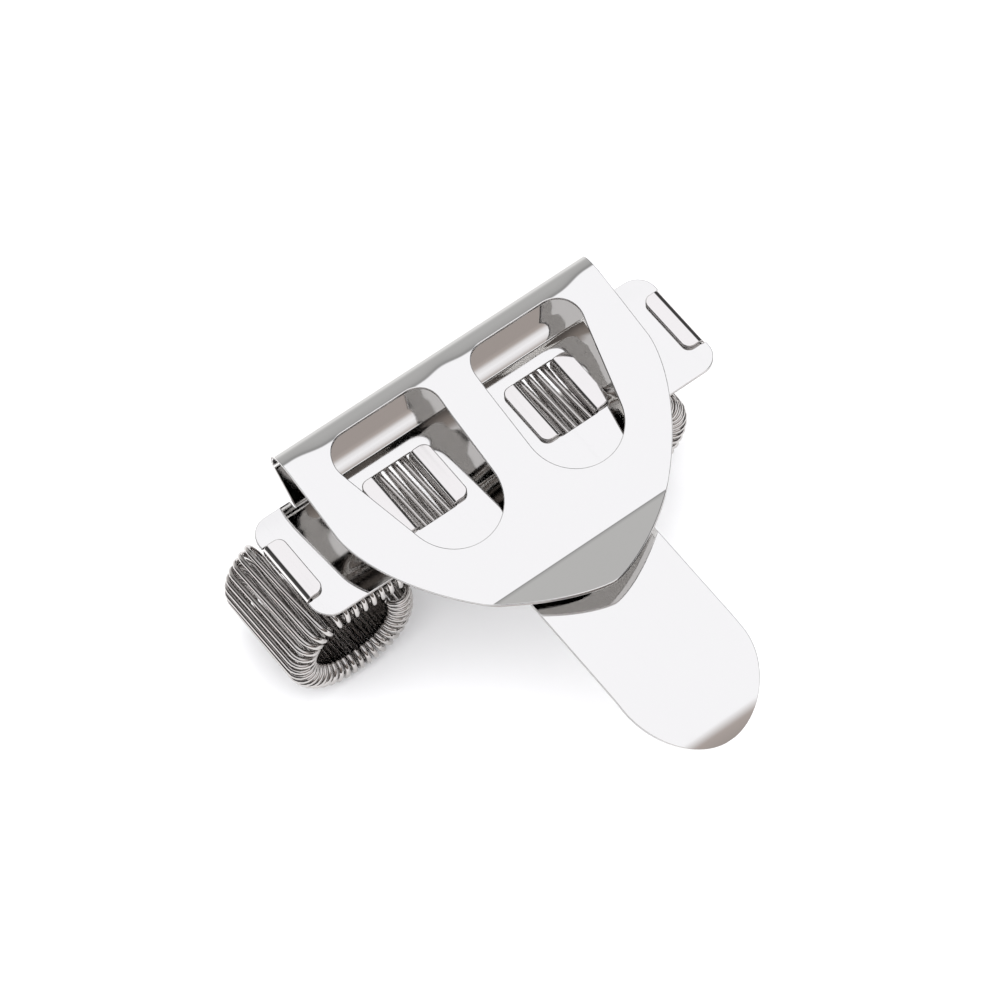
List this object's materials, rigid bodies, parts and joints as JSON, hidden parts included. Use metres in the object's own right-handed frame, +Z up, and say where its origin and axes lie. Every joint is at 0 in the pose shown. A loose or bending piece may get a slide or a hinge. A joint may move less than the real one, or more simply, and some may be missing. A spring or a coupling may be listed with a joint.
{
  "type": "double pen pocket clip",
  "caption": "Sprung pocket clip bent from one polished steel sheet, with a flat coil spring stapled across its back that curls into an open pen loop at each end.",
  "frame": {"origin": "centre of the bounding box's footprint, at the height of the loops' lowest line", "axes": "+X along the fold from the left loop to the right loop, +Y from the tongue towards the fold, +Z up from the loops through the plate to the flap"},
  "size_m": [0.0694, 0.0644, 0.0259],
  "materials": {
    "plated_sheet": "bright nickel plate over spring steel, mirror polished",
    "plated_strap": "bright nickel plate, mirror polished",
    "spring_wire": "bright nickel-plated spring wire, wound close"
  },
  "bodies": {
    "clip": {"back_plate": "plated_sheet", "fold_neck": "plated_sheet", "left_strap": "plated_strap", "centre_strap": "plated_strap", "right_strap": "plated_strap", "spring_run": "spring_wire", "left_shoulder": "spring_wire", "right_shoulder": "spring_wire"},
    "flap": {"front_flap": "plated_sheet"},
    "left_loop": {"left_loop": "spring_wire"},
    "right_loop": {"right_loop": "spring_wire"}
  },
  "joints": [
    {"name": "flap_hinge", "type": "hinge", "parent": "clip", "child": "flap", "pos_m": [0.00275, 0.03221, 0.0235], "axis": [-1, 0, 0], "range_deg": [0, 10], "stiffness_Nm_per_rad": 0.3},
    {"name": "left_loop_flex", "type": "hinge", "parent": "clip", "child": "left_loop", "pos_m": [-0.03475, 0.01937, 0.0087], "axis": [0, 1, 0], "range_deg": [0, 12], "stiffness_Nm_per_rad": 0.1},
    {"name": "right_loop_flex", "type": "hinge", "parent": "clip", "child": "right_loop", "pos_m": [0.02945, 0.01937, 0.0087], "axis": [0, -1, 0], "range_deg": [0, 12], "stiffness_Nm_per_rad": 0.1}
  ]
}
